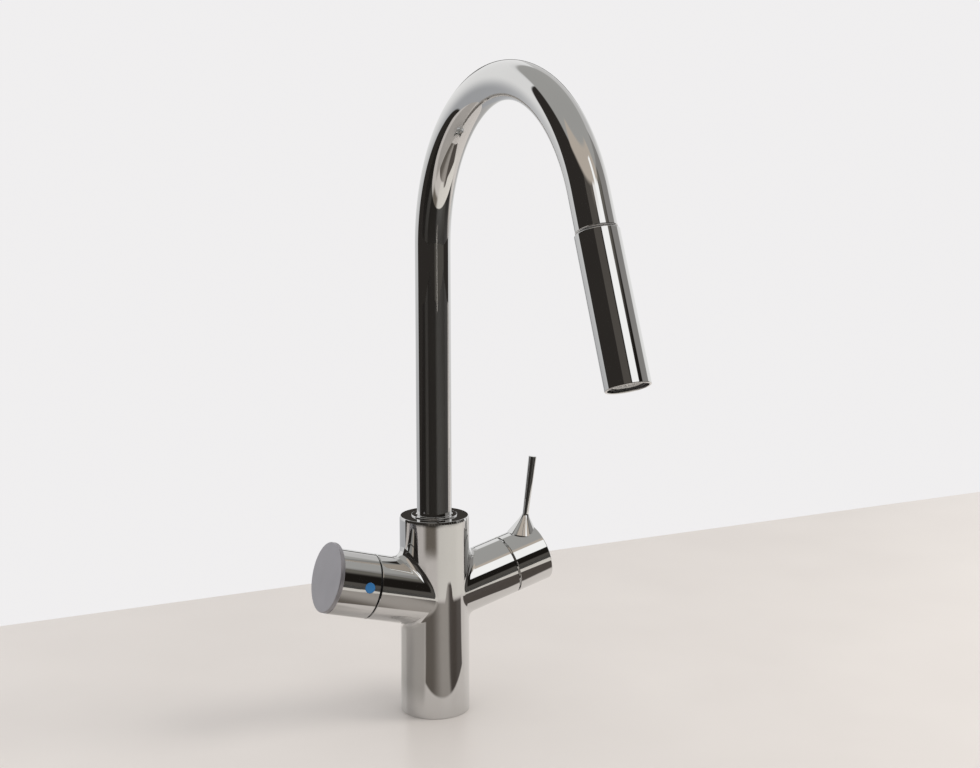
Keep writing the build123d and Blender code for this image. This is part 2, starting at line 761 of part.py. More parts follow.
with BuildPart() as handle_barrel:
    turn(mixer_arm, mixer_arm_diameter, handle_start, handle_end)
    chamfer(rims(handle_barrel, mixer_arm, handle_start)[-1], length=seam_chamfer)
    fillet(rims(handle_barrel, mixer_arm, handle_end)[-1], radius=handle_end_radius)
    # the lever's boss flares out of the barrel and is cut flush with its end
    with BuildSketch(beside(lever_line)):
        with BuildLine():
            rim = Line((0, boss_height), (lever_foot_diameter / 2 + boss_rim, boss_height))
            flare = Bezier(
                rim @ 1,
                (lever_foot_diameter / 2 + 3 * boss_rim, boss_height - boss_neck),
                (boss_diameter / 2 - boss_flare, boss_height / 4),
                (boss_diameter / 2, -boss_sink),
            )
            Polyline(
                flare @ 1,
                (boss_diameter / 2, -boss_root),
                (0, -boss_root),
                (0, boss_height),
            )
        make_face()
    revolve(axis=axis_of(lever_line))
    split(bisect_by=mixer_arm.offset(handle_end), keep=Keep.BOTTOM)
    # cavity, square socket for the spindle, screw hole from below, lever hole
    bore(mixer_arm, mixer_arm_diameter - 2 * handle_wall, handle_start, handle_hub)
    with BuildSketch(mixer_arm.offset(handle_hub)):
        Rectangle(spindle_square + 2 * fixed_fit, spindle_square + 2 * fixed_fit)
    extrude(amount=mixer_spindle_end + working_gap - handle_hub, mode=Mode.SUBTRACT)
    bore(handle_grub_line, grub_diameter + 2 * fixed_fit, 0, mixer_arm_diameter)
    bore(lever_line, lever_foot_diameter + 2 * fixed_fit, -lever_root, lever_length)
keep(handle_barrel, "handle_barrel")

with BuildPart() as lever_pin:
    with BuildSketch(beside(lever_line)):
        with BuildLine():
            Polyline(
                (0, -lever_root),
                (lever_foot_diameter / 2, -lever_root),
                (lever_foot_diameter / 2, boss_height),
                (lever_tip_diameter / 2, lever_length - lever_tip_chamfer),
                (lever_tip_diameter / 2 - lever_tip_chamfer, lever_length),
                (0, lever_length),
                close=True,
            )
        make_face()
    revolve(axis=axis_of(lever_line))
keep(lever_pin, "lever_pin")

with BuildPart() as handle_grub_screw:
    grub_screw(handle_grub_line, spindle_square / 2)
keep(handle_grub_screw, "handle_grub_screw")

with BuildPart() as handle_plug:
    screw_plug(handle_grub_line, handle_radius)
keep(handle_plug, "handle_plug")

# ---- Filtered water valve: headwork, spindle, adaptor, and the knob with its lip ----

with BuildPart() as filter_valve_seal:
    turn(filter_arm, filter_valve_thread, filter_valve_seat, filter_valve_start)
    bore(filter_arm, filter_port, filter_valve_seat, filter_valve_start)
keep(filter_valve_seal, "filter_valve_seal")

with BuildPart() as filter_valve:
    turn(filter_arm, filter_valve_thread, filter_valve_start, filter_hex_start)
    hexagon(filter_arm, filter_valve_hex, filter_hex_start, filter_hex_end)
    turn(filter_arm, filter_collar, filter_hex_end, filter_collar_end)
    bore(
        filter_arm,
        filter_spindle_diameter + 2 * running_fit,
        filter_spindle_start - running_fit,
        filter_collar_end,
    )
    bore(filter_arm, filter_port, filter_valve_start, filter_valve_start + filter_port_depth)
keep(filter_valve, "filter_valve")

with BuildPart() as filter_glide_ring:
    glide_ring(filter_arm, filter_arm_diameter, filter_arm_length)
keep(filter_glide_ring, "filter_glide_ring")

with BuildPart() as filter_spindle:
    turn(filter_arm, filter_spindle_diameter, filter_spindle_start, filter_flats_start)
    with BuildSketch(filter_arm.offset(filter_flats_start)):
        Circle(filter_spindle_diameter / 2)
        Rectangle(filter_spindle_diameter, filter_across_flats, mode=Mode.INTERSECT)
    extrude(amount=filter_spindle_end - filter_flats_start)
keep(filter_spindle, "filter_spindle")

with BuildPart() as knob_adaptor:
    turn(filter_arm, adaptor_diameter, adaptor_start, adaptor_end)
    with BuildSketch(filter_arm.offset(adaptor_start)):
        Circle(filter_spindle_diameter / 2 + fixed_fit)
        Rectangle(adaptor_diameter, filter_across_flats + 2 * fixed_fit, mode=Mode.INTERSECT)
    extrude(amount=filter_spindle_end + fixed_fit - adaptor_start, mode=Mode.SUBTRACT)
keep(knob_adaptor, "knob_adaptor")

with BuildPart() as filter_knob:
    turn(filter_arm, filter_arm_diameter, knob_start, knob_rim)
    chamfer(rims(filter_knob, filter_arm, knob_start)[-1], length=seam_chamfer)
    bore(filter_arm, knob_bore, knob_start, knob_rim)
    # a web carries the hub that grips the adaptor
    turn(filter_arm, filter_arm_diameter - knob_wall, adaptor_end - knob_web, adaptor_end)
    turn(
        filter_arm,
        adaptor_diameter + 2 * knob_hub_wall,
        adaptor_start + knob_hub_setback,
        adaptor_end,
    )
    bore(filter_arm, adaptor_diameter + 2 * fixed_fit, adaptor_start, adaptor_end)
    bore(knob_grub_line, grub_diameter + 2 * fixed_fit, 0, filter_arm_diameter)
    bore(mark_line, mark_diameter, knob_radius - mark_depth, knob_radius + mark_depth)
keep(filter_knob, "filter_knob")

with BuildPart() as knob_end_plate:
    with BuildSketch(filter_arm.offset(knob_rim)):
        with Locations((end_plate_lift, 0)):
            Circle(end_plate_diameter / 2)
    extrude(amount=end_plate_thickness)
    fillet(knob_end_plate.edges().filter_by(GeomType.CIRCLE), radius=end_plate_radius)
    turn(filter_arm, knob_bore - 2 * fixed_fit, knob_rim - end_plate_spigot, knob_rim)
keep(knob_end_plate, "knob_end_plate")

with BuildPart() as knob_mark:
    turn(
        mark_line,
        mark_diameter - 2 * fixed_fit,
        knob_radius - mark_depth,
        knob_radius + mark_depth,
    )
    with BuildSketch(filter_arm.offset(mark_station - mark_diameter)):
        Circle(knob_radius)
    extrude(amount=2 * mark_diameter, mode=Mode.INTERSECT)
keep(knob_mark, "knob_mark")

with BuildPart() as knob_grub_screw:
    grub_screw(knob_grub_line, adaptor_diameter / 2)
keep(knob_grub_screw, "knob_grub_screw")

with BuildPart() as knob_plug:
    screw_plug(knob_grub_line, knob_radius)
keep(knob_plug, "knob_plug")
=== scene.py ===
"""A three way kitchen tap in polished chrome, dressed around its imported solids.

Metres, +Z up, in the frame of the solids: the origin is the centre of the body's base, the
arms point along -X and +X, and the arched spout leans along -Y.
"""

import json
import math

import bpy
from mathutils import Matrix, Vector

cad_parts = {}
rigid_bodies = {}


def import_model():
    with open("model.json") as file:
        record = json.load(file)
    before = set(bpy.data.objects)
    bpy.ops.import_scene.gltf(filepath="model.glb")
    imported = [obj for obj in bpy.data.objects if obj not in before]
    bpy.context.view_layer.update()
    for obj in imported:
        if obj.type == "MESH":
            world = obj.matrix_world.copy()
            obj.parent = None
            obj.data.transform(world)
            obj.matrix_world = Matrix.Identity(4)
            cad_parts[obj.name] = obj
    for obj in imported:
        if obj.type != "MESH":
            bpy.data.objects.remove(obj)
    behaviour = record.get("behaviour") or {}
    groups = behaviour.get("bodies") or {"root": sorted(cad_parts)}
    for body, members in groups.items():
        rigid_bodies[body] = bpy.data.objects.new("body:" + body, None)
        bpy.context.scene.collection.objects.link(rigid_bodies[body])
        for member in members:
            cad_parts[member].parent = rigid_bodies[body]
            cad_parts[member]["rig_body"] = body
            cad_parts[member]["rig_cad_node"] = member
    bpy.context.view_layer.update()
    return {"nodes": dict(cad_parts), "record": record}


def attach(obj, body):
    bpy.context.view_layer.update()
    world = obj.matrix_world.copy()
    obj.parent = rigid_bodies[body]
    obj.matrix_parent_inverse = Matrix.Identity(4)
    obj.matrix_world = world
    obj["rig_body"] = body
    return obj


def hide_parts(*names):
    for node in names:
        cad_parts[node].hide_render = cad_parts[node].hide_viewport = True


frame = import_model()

nodes = frame["nodes"]

# ---- Sizes: lengths in metres ----

body_radius = 0.025
body_height = 0.145
body_rim_height = 0.0020  # the fine cone round the body's top
body_rim_depth = 0.00055
arm_height = 0.085
arm_rise = math.radians(15)
filter_arm_radius = 0.0232
mixer_arm_radius = 0.0215
solid_blend = 0.003  # between body and arms in the solids
seen_blend = 0.0062  # between body and arms as it is seen
blend_overlap = 0.02  # share of a blend that runs on under the metal at each side
blend_back = 1.25  # how deep its hidden edge lies, in radii of the ball that rolls it
tube_radius = 0.0125
tube_wall = 0.0015
tube_foot = 0.1086
arch_radius = 0.110
arch_start_height = 0.338
arch_sweep = math.radians(157.5)
arch_tail = 0.0226
dock_flange = 0.0013  # how far the dock stands out between tube and wand
dock_radius = 0.0113
dock_insert, dock_insert_radius = 0.018, 0.01095
dock_bore, dock_mouth_radius, dock_mouth_depth = 0.0055, 0.0075, 0.002
dock_nose, dock_nose_radius, dock_nose_round = 0.0103, 0.0095, 0.0015
wand_radius = 0.0135
wand_bore = 0.0121
wand_length = 0.092
wand_gap = 0.0003
shank_low, shank_high = -0.062, 0.0175
shank_bore, shank_core, shank_crest = 0.0140, 0.0156, 0.01645
thread_pitch = 0.0015
gasket_top, gasket_radius = 0.002, 0.0232
washer_hole, washer_radius = 0.01675, 0.027
washer_top, washer_seam, nut_top, nut_low = -0.030, -0.033, -0.035, -0.045
nut_half_flats, nut_hole = 0.023, 0.0165
nut_corner_radius, nut_corner_cut = 0.0267, 0.0022
nut_hole_cut = 0.0013
seam = 0.0006  # the dark step at the start of each turning handle
edge_break = 0.0002
handle_start, handle_end = 0.0603, 0.0880
handle_hub, handle_shoulder = 0.0186, 0.0197
handle_recess = 0.005
handle_screw_station = 0.0708
lever_station = 0.0817
lever_lean = math.radians(22.7)
lever_root, lever_neck, lever_tip = -0.0045, 0.0105, 0.054
lever_root_radius, lever_tip_radius = 0.00215, 0.0029
knob_start, knob_end = 0.0543, 0.0840
knob_bore, knob_shoulder = 0.0200, 0.0213
knob_screw_station = 0.0680
screw_hole_radius = 0.00255
mark_station, mark_radius = 0.0630, 0.0038
mark_angle = math.radians(82)
plate_radius, plate_thickness, plate_rise = 0.0248, 0.0032, 0.002
spigot_radius, spigot_length = 0.01995, 0.0025
camera_pitch = 8.77
sharp_angle = 32  # degrees between two faces, past which their edge stays sharp
fine_sharp_angle = 25  # the same, where a curve is made of many narrow faces
touching = 0.00001  # how near counts as on a surface
alike_on_round, alike_on_blend = 0.9, 0.8  # least cosine between a face and its surface
beyond_cut = 0.0001  # how far a cutting shape stands out of the metal

# ---- Directions and centre lines, each a point and a direction ----

upwards = Vector((0, 0, 1))
arm_centre = Vector((0, 0, arm_height))
filter_direction = Vector((-math.cos(arm_rise), 0, math.sin(arm_rise)))
mixer_direction = Vector((math.cos(arm_rise), 0, math.sin(arm_rise)))
filter_up = Vector((math.sin(arm_rise), 0, math.cos(arm_rise)))
mixer_up = Vector((-math.sin(arm_rise), 0, math.cos(arm_rise)))
arch_centre = Vector((0, -arch_radius, arch_start_height))
arch_end = arch_centre + arch_radius * Vector((0, math.cos(arch_sweep), math.sin(arch_sweep)))
outlet_direction = Vector((0, -math.sin(arch_sweep), math.cos(arch_sweep)))
tail_end = arch_end + arch_tail * outlet_direction
look = Vector((0.4585, 0.8887, 0)).normalized()
across_view = Vector((look.y, -look.x, 0))

upright_line = (Vector((0, 0, 0)), upwards)
filter_line = (arm_centre, filter_direction)
mixer_line = (arm_centre, mixer_direction)
outlet_line = (arch_end, outlet_direction)
plate_line = (arm_centre + filter_up * plate_rise, filter_direction)
lever_line = (
    arm_centre + mixer_direction * lever_station + mixer_up * mixer_arm_radius,
    mixer_up * math.cos(lever_lean) + mixer_direction * math.sin(lever_lean),
)


def across(line, station, direction):
    """A centre line that leaves another one at a station."""
    return (line[0] + line[1] * station, direction)


# ---- Shader wiring ----


class Wire:
    """A shader socket that takes part in written arithmetic."""

    def __init__(self, board, socket):
        self.board = board
        self.socket = socket

    def __add__(self, other):
        return self.board.maths("ADD", self, other)

    def __radd__(self, other):
        return self.board.maths("ADD", other, self)

    def __sub__(self, other):
        return self.board.maths("SUBTRACT", self, other)

    def __rsub__(self, other):
        return self.board.maths("SUBTRACT", other, self)

    def __mul__(self, other):
        return self.board.maths("MULTIPLY", self, other)

    def __rmul__(self, other):
        return self.board.maths("MULTIPLY", other, self)


class Board:
    """The node board of a material or of the world."""

    def __init__(self, owner):
        owner.use_nodes = True
        self.tree = owner.node_tree
        self.tree.nodes.clear()

    def node(self, kind, settings=None, inputs=None, output=0):
        made = self.tree.nodes.new("ShaderNode" + kind)
        for setting, value in (settings or {}).items():
            setattr(made, setting, value)
        for socket, value in (inputs or {}).items():
            if isinstance(value, Wire):
                self.tree.links.new(value.socket, made.inputs[socket])
            else:
                made.inputs[socket].default_value = value
        return Wire(self, made.outputs[output]) if made.outputs else None

    def maths(self, operation, first, second=0.0):
        return self.node("Math", {"operation": operation}, {0: first, 1: second})

    def spread(self, value, low, high, to_low=0.0, to_high=1.0):
        """Eases a value from one range to another, and holds it at both ends."""
        return self.node(
            "MapRange",
            {"interpolation_type": "SMOOTHSTEP"},
            {"Value": value, 1: low, 2: high, 3: to_low, 4: to_high},
        )

    def between(self, value, low, high, soft):
        """One inside a range of a value, and nothing outside it."""
        return self.spread(value, low - soft, low + soft) * self.spread(
            value, high - soft, high + soft, 1.0, 0.0
        )

    def blend(self, share, first, second, how="MIX"):
        return self.node(
            "Mix", {"data_type": "RGBA", "blend_type": how}, {0: share, 6: first, 7: second}, 2
        )

    def noise(self, place, size, detail=2.0, roughness=0.5):
        """Cloudy variation whose features are about the given size, in metres."""
        return self.node(
            "TexNoise",
            None,
            {"Vector": place, "Scale": 1 / size, "Detail": detail, "Roughness": roughness},
        )

    def bump(self, strength, depth, height):
        """The light's play on a fine relief of the given depth, in metres."""
        return self.node(
            "Bump", None, {"Strength": strength, "Distance": depth, "Height": height}
        )

    def split(self, place):
        """A place or a heading as its shares along X, Y and Z."""
        return [self.node("SeparateXYZ", None, {0: place}, axis) for axis in range(3)]

    def bearing(self, east, north):
        """Degrees round the upright, from the side that faces the camera."""
        towards_camera = east * -look.x + north * -look.y
        to_the_right = east * across_view.x + north * across_view.y
        return self.maths("ARCTAN2", to_the_right, towards_camera) * (180 / math.pi)


def tone(red, green, blue):
    return (red, green, blue, 1.0)


# ---- Finishes ----


def new_finish(name):
    material = bpy.data.materials.new(name)
    board = Board(material)
    place = board.node("TexCoord", output="Object")
    return material, board, place


def settle(board, **sockets):
    """Ends a finish in one surface shader."""
    names = {key.replace("_", " ").title(): value for key, value in sockets.items()}
    surface = board.node("BsdfPrincipled", None, names)
    board.node("OutputMaterial", None, {"Surface": surface})


def polished_chrome():
    material, board, place = new_finish("polished_chrome")
    film = board.noise(place, 0.045, 3.0)
    smudge = board.spread(board.noise(place, 0.012, 5.0, 0.62), 0.5, 0.72)
    peel = board.noise(place, 0.02, 1.0)
    settle(
        board,
        base_color=board.blend(film, tone(0.655, 0.655, 0.65), tone(0.715, 0.715, 0.71)),
        metallic=1.0,
        roughness=0.018 + 0.03 * smudge,
        normal=board.bump(0.12, 0.0004, peel),
    )
    return material


def satin_chrome():
    """Fine satin chrome, brushed in circles about the middle of the end plate."""
    material, board, place = new_finish("satin_chrome")
    middle = plate_line[0] + plate_line[1] * (knob_end + plate_thickness)
    radius = board.node("VectorMath", {"operation": "DISTANCE"}, {0: place, 1: middle}, 1)
    brushed = board.node(
        "TexNoise", {"noise_dimensions": "1D"}, {"W": radius, "Scale": 6000, "Detail": 3.0}
    )
    film = board.noise(place, 0.02, 2.0)
    settle(
        board,
        base_color=board.blend(film, tone(0.38, 0.37, 0.39), tone(0.46, 0.45, 0.475)),
        metallic=0.85,
        roughness=0.30 + 0.16 * brushed,
        normal=board.bump(0.16, 0.00003, brushed),
    )
    return material


def stainless_steel():
    material, board, place = new_finish("stainless_steel")
    grain = board.noise(place, 0.0008, 4.0, 0.6)
    film = board.noise(place, 0.015, 3.0)
    settle(
        board,
        base_color=board.blend(film, tone(0.52, 0.51, 0.50), tone(0.62, 0.61, 0.60)),
        metallic=1.0,
        roughness=0.24 + 0.16 * grain,
        normal=board.bump(0.15, 0.00004, grain),
    )
    return material


def plain_brass():
    material, board, place = new_finish("plain_brass")
    grain = board.noise(place, 0.0007, 4.0, 0.6)
    tarnish = board.spread(board.noise(place, 0.008, 4.0), 0.4, 0.75)
    settle(
        board,
        base_color=board.blend(tarnish, tone(0.72, 0.52, 0.22), tone(0.48, 0.33, 0.14)),
        metallic=1.0,
        roughness=0.26 + 0.2 * grain,
        normal=board.bump(0.15, 0.00004, grain),
    )
    return material


def black_rubber():
    material, board, place = new_finish("black_rubber")
    grain = board.noise(place, 0.0006, 4.0, 0.6)
    dust = board.spread(board.noise(place, 0.006, 5.0), 0.52, 0.8)
    settle(
        board,
        base_color=board.blend(dust, tone(0.016, 0.016, 0.016), tone(0.05, 0.048, 0.045)),
        roughness=0.62 + 0.2 * grain,
        normal=board.bump(0.4, 0.00006, grain),
    )
    return material


def moulded_plastic(name, deep, light, roughness):
    material, board, place = new_finish(name)
    grain = board.noise(place, 0.0009, 3.0, 0.55)
    shade = board.noise(place, 0.01, 2.0)
    settle(
        board,
        base_color=board.blend(shade, deep, light),
        roughness=roughness + 0.12 * grain,
        normal=board.bump(0.15, 0.00003, grain),
    )
    return material


finishes = {
    "polished_chrome": polished_chrome(),
    "satin_chrome": satin_chrome(),
    "stainless_steel": stainless_steel(),
    "plain_brass": plain_brass(),
    "black_rubber": black_rubber(),
    "dark_plastic": moulded_plastic(
        "dark_plastic", tone(0.02, 0.02, 0.021), tone(0.032, 0.032, 0.034), 0.38
    ),
    "pale_plastic": moulded_plastic(
        "pale_plastic", tone(0.62, 0.62, 0.60), tone(0.7, 0.7, 0.68), 0.34
    ),
    "blue_plastic": moulded_plastic(
        "blue_plastic", tone(0.02, 0.13, 0.33), tone(0.03, 0.18, 0.42), 0.24
    ),
}

slots = {part["node"]: part["material_slot"] for part in frame["record"]["subparts"]}
for name, node in nodes.items():
    node.data.materials.clear()
    node.data.materials.append(finishes[slots[name]])


# ---- Ways of working on a piece ----


def only(piece):
    """Selects one object and nothing else."""
    bpy.ops.object.select_all(action="DESELECT")
    piece.select_set(True)
    bpy.context.view_layer.objects.active = piece


def finished(piece, name, finish, body, *stands_for):
    """Names a piece, gives it its finish, and puts it on its body."""
    piece.name = name
    piece.data.name = name
    piece.data.materials.clear()
    piece.data.materials.append(finishes[finish])
    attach(piece, body)
    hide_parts(*stands_for)
    return piece


def smooth_copy(node_name, name, body):
    """A merged and smoothly shaded copy of a solid, which stands for it."""
    piece = nodes[node_name].copy()
    piece.data = nodes[node_name].data.copy()
    piece.parent = None
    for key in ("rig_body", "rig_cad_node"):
        if key in piece:
            del piece[key]
    bpy.context.scene.collection.objects.link(piece)
    only(piece)
    bpy.ops.object.mode_set(mode="EDIT")
    bpy.ops.mesh.select_all(action="SELECT")
    bpy.ops.mesh.remove_doubles(threshold=0.000002)
    bpy.ops.object.mode_set(mode="OBJECT")
    bpy.ops.object.shade_smooth_by_angle(angle=math.radians(sharp_angle))
    return finished(piece, name, slots[node_name], body, node_name)


def round_rim(station, radius, size, way, steps=6):
    """Rings of a rounded outer rim, opening away from a flat end or closing onto one."""
    rings = []
    for step in range(steps + 1):
        angle = math.pi / 2 * step / steps
        if way == "opens":
            rings.append(
                (station + size * (1 - math.cos(angle)), radius - size * (1 - math.sin(angle)))
            )
        else:
            rings.append(
                (station - size * (1 - math.sin(angle)), radius - size * (1 - math.cos(angle)))
            )
    return rings


def smooth(piece, angle=sharp_angle):
    """Shades a piece smoothly between its edges, with the broad faces leading."""
    only(piece)
    bpy.ops.object.shade_smooth_by_angle(angle=math.radians(angle))
    weights = piece.modifiers.new("weights", "WEIGHTED_NORMAL")
    weights.keep_sharp = True
    bpy.ops.object.modifier_apply(modifier=weights.name)
    return piece


def turned(line, rings, around=160):
    """Shapes a piece as on a lathe: a circle is drawn out along a centre line from ring to
    ring, each a station and a radius. A last ring like the first joins it to a hollow one."""
    point, direction = line
    station, radius = rings[0]
    bpy.ops.object.select_all(action="DESELECT")
    bpy.ops.mesh.primitive_circle_add(
        vertices=around,
        radius=radius,
        location=point + direction * station,
        rotation=direction.to_track_quat("Z", "Y").to_euler(),
    )
    piece = bpy.context.object
    bpy.ops.object.transform_apply(location=True, rotation=True, scale=True)
    bpy.ops.object.mode_set(mode="EDIT")
    bpy.ops.mesh.select_mode(type="EDGE")
    bpy.ops.mesh.select_all(action="SELECT")
    for next_station, next_radius in rings[1:]:
        travel = direction * (next_station - station)
        bpy.ops.mesh.extrude_edges_move(TRANSFORM_OT_translate={"value": travel})
        growth = next_radius / radius
        if growth != 1:
            bpy.ops.transform.resize(
                value=(growth, growth, growth), center_override=point + direction * next_station
            )
        station, radius = next_station, next_radius
    if rings[0] == rings[-1]:
        bpy.ops.mesh.select_all(action="SELECT")
        bpy.ops.mesh.remove_doubles(threshold=0.000001)
    else:
        bpy.ops.mesh.edge_face_add()
        bpy.ops.mesh.select_all(action="DESELECT")
        bpy.ops.mesh.select_non_manifold()
        bpy.ops.mesh.edge_face_add()
    bpy.ops.mesh.select_all(action="SELECT")
    bpy.ops.mesh.normals_make_consistent(inside=False)
    bpy.ops.object.mode_set(mode="OBJECT")
    return piece


def combined(piece, tool, how):
    """Joins a second shape to a piece, or cuts it out, and uses the second shape up."""
    only(piece)
    change = piece.modifiers.new("change", "BOOLEAN")
    change.operation = how
    change.solver = "EXACT"
    change.object = tool
    bpy.ops.object.modifier_apply(modifier=change.name)
    bpy.data.objects.remove(tool)
    bpy.ops.object.mode_set(mode="EDIT")
    bpy.ops.mesh.select_all(action="SELECT")
    bpy.ops.mesh.dissolve_degenerate(threshold=0.000005)
    bpy.ops.object.mode_set(mode="OBJECT")
    return piece


def joined(*parts):
    """Makes one piece of several shapes that are fixed together."""
    bpy.ops.object.select_all(action="DESELECT")
    for shape in parts:
        shape.select_set(True)
    bpy.context.view_layer.objects.active = parts[0]
    bpy.ops.object.join()
    return bpy.context.object


# ---- Body casting: exact directions for the light on its round surfaces ----


def away_from(line, spot):
    """The way from a centre line out to a spot."""
    reach = spot - line[0]
    return reach - line[1] * reach.dot(line[1])


def blend_direction(spot, line, radius, closing_steps=6):
    """Which way the hollow blend between the body and an arm faces at a spot. The centre of
    the ball that rolls there is closed in on in a few steps."""
    centre = spot.copy()
    first = away_from(upright_line, centre).normalized()
    second = away_from(line, centre).normalized()
    centre += (first + second).normalized() * solid_blend
    for _ in range(closing_steps):
        first = away_from(upright_line, centre)
        second = away_from(line, centre)
        short_first = body_radius + solid_blend - first.length
        short_second = radius + solid_blend - second.length
        first.normalize()
        second.normalize()
        shared = first.dot(second)
        scale = 1 / (1 - shared * shared)
        centre += first * ((short_first - shared * short_second) * scale)
        centre += second * ((short_second - shared * short_first) * scale)
        along = first.cross(second).normalized()
        centre += along * (spot - centre).dot(along)
    return (centre - spot).normalized()


def casting_direction(spot, flat):
    """The exact direction of the casting's surface at a spot. A face that looks another way
    than the surface does is a flat or an edge there, and keeps its own direction."""
    if abs(away_from(upright_line, spot).length - body_radius) < touching:
        facing = away_from(upright_line, spot).normalized()
        return facing if facing.dot(flat) > alike_on_round else flat
    line, radius = mixer_line, mixer_arm_radius
    if spot.x < 0:
        line, radius = filter_line, filter_arm_radius
    from_body = away_from(upright_line, spot).length - body_radius
    from_arm = away_from(line, spot).length - radius
    if abs(from_arm) < touching:
        facing = away_from(line, spot).normalized()
        return facing if facing.dot(flat) > alike_on_round else flat
    if 0 < from_body < solid_blend and 0 < from_arm < solid_blend:
        facing = blend_direction(spot, line, radius)
        return facing if facing.dot(flat) > alike_on_blend else flat
    return flat


body_casting = smooth_copy("tap_body", "body_casting", "tap_body")
rim_start = (body_height - body_rim_height, body_radius + 0.00002)
rim_top_radius = body_radius - body_rim_depth
rim_cut = turned(
    upright_line,
    [
        rim_start,
        (body_height - body_rim_height, body_radius + 0.002),
        (body_height + 0.001, body_radius + 0.002),
        (body_height + 0.001, rim_top_radius - 0.00105),
        (body_height, rim_top_radius - edge_break),
        (body_height - edge_break, rim_top_radius),
        rim_start,
    ],
    around=256,
)
body_casting = combined(body_casting, rim_cut, "DIFFERENCE")
mesh = body_casting.data
directions = []
for face in mesh.polygons:
    for corner in face.loop_indices:
        spot = mesh.vertices[mesh.loops[corner].vertex_index].co
        directions.append(casting_direction(spot, face.normal.copy()))
mesh.normals_split_custom_set(directions)


def blend_ring(line, radius, size, around=288, steps=16):
    """The hollow blend that runs round an arm where it leaves the body: a ball of the given
    size rolls round the corner, and the band that it would leave is closed inside the metal."""
    up = upwards - line[1] * line[1].z
    up.normalize()
    side = line[1].cross(up)
    bpy.ops.object.select_all(action="DESELECT")
    bpy.ops.mesh.primitive_circle_add(vertices=around, radius=1)
    band = bpy.context.object
    bpy.ops.object.mode_set(mode="EDIT")
    bpy.ops.mesh.select_mode(type="EDGE")
    bpy.ops.mesh.select_all(action="SELECT")
    for step in range(steps + 1):
        bpy.ops.mesh.extrude_edges_move(TRANSFORM_OT_translate={"value": (0, 0, 1)})
    bpy.ops.object.mode_set(mode="OBJECT")
    for vertex in band.data.vertices:
        ring = round(vertex.co.z)
        turn = math.atan2(vertex.co.y, vertex.co.x)
        out = up * math.cos(turn) + side * math.sin(turn)
        start = line[0] + out * (radius + size)
        # how far along the arm the ball's centre comes to rest against the body
        flat, way = Vector((start.x, start.y, 0)), Vector((line[1].x, line[1].y, 0))
        pace, drift = way.dot(way), flat.dot(way)
        lack = flat.dot(flat) - (body_radius + size) ** 2
        travel = (-drift + math.sqrt(drift * drift - pace * lack)) / pace
        centre = start + line[1] * travel
        first = -away_from(upright_line, centre).normalized()
        second = -out
        if ring > steps:
            vertex.co = centre + (first + second).normalized() * size * blend_back
        else:
            angle = first.angle(second)
            share = (ring / steps) * (1 + 2 * blend_overlap) - blend_overlap
            vertex.co = centre + size * (
                first * math.sin(angle * (1 - share)) + second * math.sin(angle * share)
            ) / math.sin(angle)
    only(band)
    bpy.ops.object.mode_set(mode="EDIT")
    bpy.ops.mesh.select_all(action="DESELECT")
    bpy.ops.mesh.select_non_manifold()
    bpy.ops.mesh.bridge_edge_loops()
    bpy.ops.mesh.select_all(action="SELECT")
    bpy.ops.mesh.normals_make_consistent(inside=False)
    bpy.ops.object.mode_set(mode="OBJECT")
    bpy.ops.object.shade_smooth_by_angle(angle=math.radians(fine_sharp_angle))
    band.data.materials.append(finishes["polished_chrome"])
    return band


body_casting = joined(
    body_casting,
    blend_ring(filter_line, filter_arm_radius, seen_blend),
    blend_ring(mixer_line, mixer_arm_radius, seen_blend),
)

# ---- Threaded shank below the base ----

shank = turned(
    upright_line,
    [
        (shank_low, shank_bore),
        (shank_low, shank_core - 0.0004),
        (shank_low + 0.0004, shank_core),
        (shank_high, shank_core),
        (shank_high, shank_bore),
        (shank_low, shank_bore),
    ],
    around=128,
)
shank = smooth(shank)
shank.data.materials.append(finishes["plain_brass"])
bpy.ops.object.select_all(action="DESELECT")
ridge = 0.0006  # half the height of the thread's diamond section
thread_runout = 0.0012
bpy.ops.mesh.primitive_circle_add(
    vertices=4,
    radius=ridge,
    location=(shank_crest - ridge, 0, shank_low + thread_runout),
    rotation=(math.pi / 2, 0, 0),
)
thread = bpy.context.object
bpy.ops.object.transform_apply(location=True, rotation=True, scale=True)
wind = thread.modifiers.new("wind", "SCREW")
wind.screw_offset = thread_pitch
wind.iterations = int((shank_high - shank_low - 2 * thread_runout) / thread_pitch)
wind.steps = wind.render_steps = 96
wind.use_merge_vertices = False
bpy.ops.object.modifier_apply(modifier=wind.name)
bpy.ops.object.mode_set(mode="EDIT")
bpy.ops.mesh.select_all(action="DESELECT")
bpy.ops.mesh.select_mode(type="EDGE")
bpy.ops.mesh.select_non_manifold()
bpy.ops.mesh.edge_face_add()
bpy.ops.mesh.select_all(action="SELECT")
bpy.ops.mesh.normals_make_consistent(inside=False)
bpy.ops.object.mode_set(mode="OBJECT")
thread.data.materials.append(finishes["plain_brass"])
shank = joined(shank, thread)
finished(shank, "threaded_shank", "plain_brass", "tap_body", "mounting_shank")

# ---- Fixing from below: gasket, washers and back nut ----

for name, node_name, low, high, radius, rim in (
    ("foot_gasket", "base_gasket", 0.0, gasket_top, gasket_radius, 0.0002),
    ("soft_washer", "rubber_washer", washer_seam, washer_top, washer_radius, 0.0008),
    ("hard_washer", "steel_washer", nut_top, washer_seam, washer_radius, 0.0004),
):
    flat_ring = turned(
        upright_line,
        [
            (low, washer_hole),
            *round_rim(low, radius, rim, "opens", 4),
            *round_rim(high, radius, rim, "closes", 4),
            (high, washer_hole),
            (low, washer_hole),
        ],
        around=128,
    )
    finished(smooth(flat_ring), name, slots[node_name], "tap_body", node_name)

